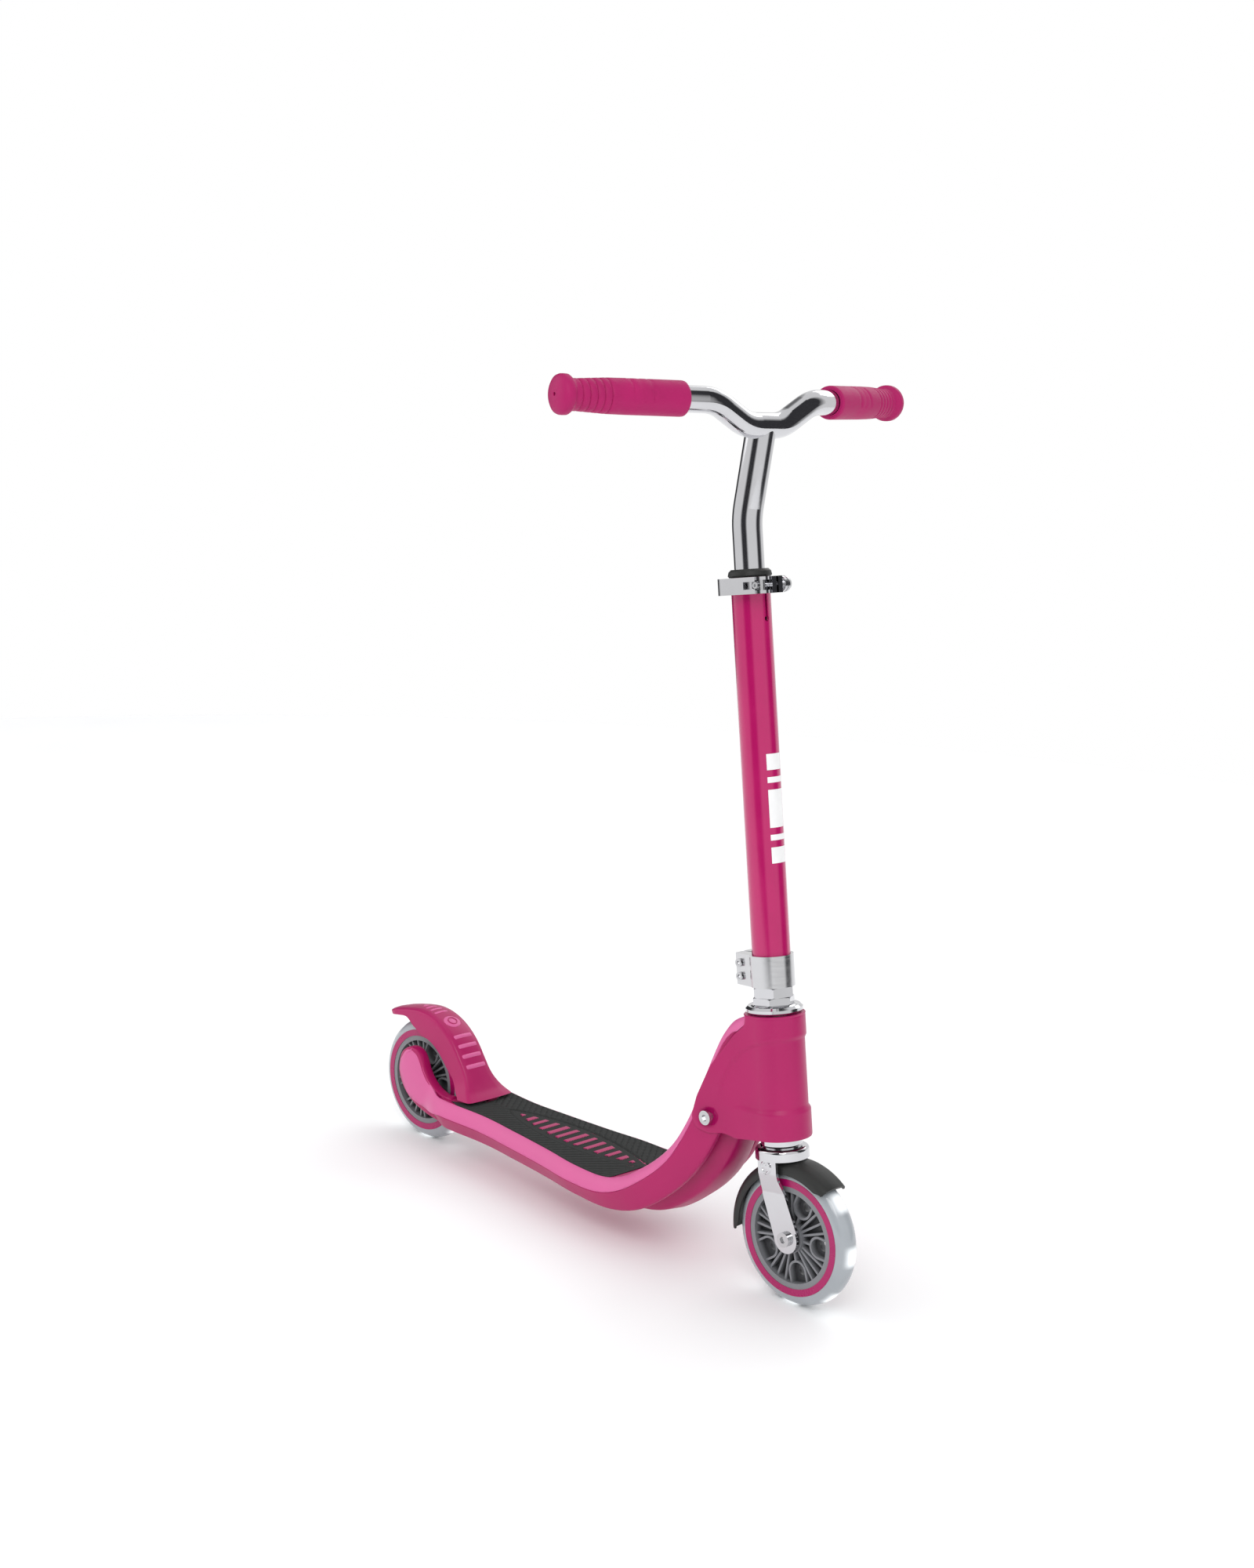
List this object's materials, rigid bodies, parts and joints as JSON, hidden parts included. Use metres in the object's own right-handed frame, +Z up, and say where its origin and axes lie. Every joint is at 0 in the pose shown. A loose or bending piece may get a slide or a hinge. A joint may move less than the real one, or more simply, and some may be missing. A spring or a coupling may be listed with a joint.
{
  "type": "kick scooter",
  "caption": "Two-wheeled kick scooter: curved plastic deck rising to a head casing, telescoping T-bar with a quick-release clamp, spoked light-up wheels and a rear fender brake.",
  "frame": {"origin": "on the ground, midway between the two axles, in the scooter's mid-plane", "axes": "+X points forward, +Y to the rider's left and +Z up"},
  "size_m": [0.632, 0.4254, 0.7958],
  "materials": {
    "magenta_plastic": "satin moulded plastic, slightly mottled",
    "light_pink_plastic": "satin moulded plastic",
    "magenta_paint": "satin powder coat",
    "ring_plastic": "gloss moulded plastic",
    "mat_rubber": "matte textured rubber",
    "grip_rubber": "matte soft rubber",
    "chrome": "polished",
    "steel": "bright zinc",
    "black_steel": "black coat",
    "black_plastic": "matte",
    "hub_plastic": "satin grey",
    "clear_tyre": "translucent cast urethane",
    "led_strip": "clear moulded strip with lamps"
  },
  "bodies": {
    "frame": {"head_tube": "black_steel", "neck_brackets": "black_steel", "frame_beam": "black_steel", "rear_fork_plates": "black_steel", "headset_cups": "chrome", "headset_balls": "steel", "head_casing": "magenta_plastic", "deck_body": "magenta_plastic", "shoulder_trim_left": "light_pink_plastic", "shoulder_trim_right": "light_pink_plastic", "deck_mat": "mat_rubber", "underside_cover": "black_plastic", "underside_screws": "steel", "neck_bolt": "steel", "neck_nut": "steel", "brake_pivot_pin": "steel", "rear_axle_bolt": "steel", "rear_axle_nut": "steel", "rear_axle_spacers": "steel"},
    "fork": {"fork_steerer": "steel", "fork_crown": "chrome", "crown_race": "chrome", "headset_cap": "chrome", "adjusting_nut": "steel", "lock_washer": "steel", "lock_nut": "steel", "front_fender": "black_plastic", "fender_rivet": "steel", "front_axle_bolt": "steel", "front_axle_nut": "steel", "front_axle_spacers": "steel", "stem_clamp": "steel", "stem_clamp_bolts": "steel", "lower_stem_tube": "magenta_paint", "stem_collar_bush": "black_plastic", "quick_clamp_collar": "chrome", "quick_release_pin": "steel", "quick_release_bolt": "steel", "quick_release_nut": "steel"},
    "handlebar": {"upper_stem_tube": "chrome", "handlebar_tube": "chrome", "stem_end_bush": "black_plastic", "button_spring": "steel", "grip_left": "grip_rubber", "grip_right": "grip_rubber"},
    "button": {"lock_button": "steel"},
    "lever": {"quick_release_lever": "chrome"},
    "front_wheel": {"front_hub": "hub_plastic", "front_rim_ring": "ring_plastic", "front_tyre": "clear_tyre", "front_led_ring": "led_strip", "front_bearings": "steel"},
    "rear_wheel": {"rear_hub": "hub_plastic", "rear_rim_ring": "ring_plastic", "rear_tyre": "clear_tyre", "rear_led_ring": "led_strip", "rear_bearings": "steel"},
    "brake": {"brake_fender": "magenta_plastic", "brake_inlays": "light_pink_plastic"}
  },
  "joints": [
    {"name": "steering", "type": "hinge", "parent": "frame", "child": "fork", "pos_m": [0.24048, 0, 0.06036], "axis": [-0.1625, 0, 0.9867], "range_deg": [-90, 90]},
    {"name": "bar_height", "type": "slide", "parent": "fork", "child": "handlebar", "axis": [-0.1625, 0, 0.9867], "range_m": [0, 0.129]},
    {"name": "quick_release", "type": "hinge", "parent": "fork", "child": "lever", "pos_m": [0.17258, -0.015, 0.6266], "axis": [-0.1625, 0, 0.9867], "range_deg": [0, 120]},
    {"name": "front_wheel_spin", "type": "hinge", "parent": "fork", "child": "front_wheel", "pos_m": [0.2535, 0, 0.0625], "axis": [0, 1, 0], "continuous": true},
    {"name": "rear_wheel_spin", "type": "hinge", "parent": "frame", "child": "rear_wheel", "pos_m": [-0.2535, 0, 0.0625], "axis": [0, 1, 0], "continuous": true},
    {"name": "brake_press", "type": "hinge", "parent": "frame", "child": "brake", "pos_m": [-0.1785, 0, 0.052], "axis": [0, -1, 0], "range_deg": [0, 2.4], "stiffness_Nm_per_rad": 6, "springref_deg": -1.72},
    {"name": "button_press", "type": "slide", "parent": "handlebar", "child": "button", "axis": [-0.9867, 0, -0.1625], "range_m": [0, 0.0036], "stiffness_N_per_m": 150, "springref_m": 0.0045}
  ]
}
